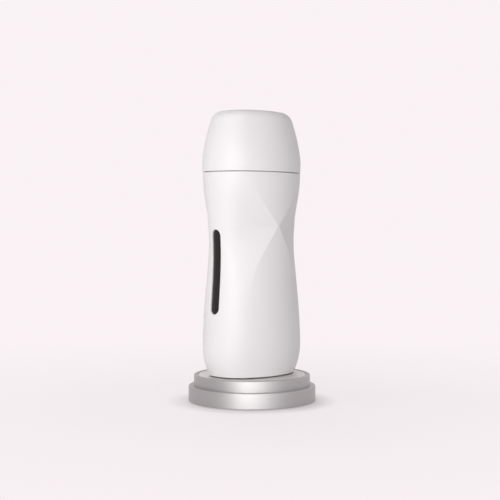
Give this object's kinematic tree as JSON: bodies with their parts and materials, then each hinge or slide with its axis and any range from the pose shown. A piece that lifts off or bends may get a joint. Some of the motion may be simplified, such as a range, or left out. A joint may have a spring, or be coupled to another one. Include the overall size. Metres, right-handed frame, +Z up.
{
  "type": "roll on wax heater",
  "caption": "Hand-held hourglass roll-on wax warmer with creased faces, a dark wax window, a pull-off cap and a lift-out roller cartridge, standing on a low two-tier round stand.",
  "frame": {"origin": "middle of the stand's underside, on the surface it stands on", "axes": "+Z up through the cap; X across the broad faces, with the wax window on the -X side; the creased front faces -Y and the mains inlet, button and lamp are at +Y"},
  "size_m": [0.0864, 0.0864, 0.1962],
  "materials": {
    "body_white": "satin",
    "neck_white": "satin",
    "stand_silver": "satin",
    "stand_pad": "satin",
    "steel": "brushed",
    "rubber_dark": "matte",
    "window_tint": "gloss",
    "heat_plastic": "matte",
    "chamber_alu": "drawn",
    "ceramic": "matte",
    "board_green": "satin",
    "part_green": "satin",
    "part_yellow": "gloss",
    "part_brown": "satin",
    "brass": "plated",
    "lamp_red": "gloss",
    "lamp_clear": "gloss",
    "wire_brown": "satin",
    "wire_red": "satin",
    "wire_white": "satin",
    "wire_blue": "satin",
    "button_grey": "satin",
    "bottle_clear": "translucent",
    "wax": "gloss",
    "frame_white": "satin"
  },
  "bodies": {
    "stand": {"stand_lower_tier": "stand_silver", "stand_upper_tier": "stand_silver", "stand_top_pad": "stand_pad", "stand_base_plate": "steel", "stand_feet": "rubber_dark", "stand_screws": "steel"},
    "heater": {"outer_shell": "body_white", "window_lens": "window_tint", "window_gasket": "rubber_dark", "base_cover": "neck_white", "base_feet": "rubber_dark", "base_screws": "steel", "top_collar": "neck_white", "chamber_cradle": "heat_plastic", "heating_chamber": "chamber_alu", "heater_plate_front": "ceramic", "heater_plate_back": "ceramic", "heater_clips": "steel", "thermostat": "ceramic", "thermal_fuse": "steel", "mains_inlet": "heat_plastic", "inlet_pins": "brass", "main_board": "board_green", "board_screws": "steel", "terminal_block": "part_green", "film_capacitor": "part_yellow", "drop_resistor": "part_brown", "control_board": "board_green", "switch_body": "heat_plastic", "indicator_led": "lamp_red", "indicator_lens": "lamp_clear", "supply_leads": "wire_brown", "heater_leads": "wire_red", "sensor_leads": "wire_white", "control_leads": "wire_blue"},
    "button": {"power_button": "button_grey", "switch_plunger": "neck_white"},
    "cartridge": {"cartridge_bottle": "bottle_clear", "wax_fill": "wax", "roller_frame": "frame_white", "roller_axle": "steel"},
    "roller": {"roller": "frame_white"},
    "cap": {"cap_shell": "body_white", "cap_stop_ring": "neck_white"}
  },
  "joints": [
    {"name": "heater_lift", "type": "slide", "parent": "stand", "child": "heater", "axis": [0, 0, 1], "range_m": [0, 0.06]},
    {"name": "button_press", "type": "slide", "parent": "heater", "child": "button", "axis": [0, -1, 0], "range_m": [0, 0.0012], "stiffness_N_per_m": 400, "springref_m": -0.001},
    {"name": "cartridge_lift", "type": "slide", "parent": "heater", "child": "cartridge", "axis": [0, 0, 1], "range_m": [0, 0.112]},
    {"name": "roller_spin", "type": "hinge", "parent": "cartridge", "child": "roller", "pos_m": [0, 0, 0.1688], "axis": [1, 0, 0], "continuous": true},
    {"name": "cap_pull", "type": "slide", "parent": "cartridge", "child": "cap", "axis": [0, 0, 1], "range_m": [0, 0.06]}
  ]
}
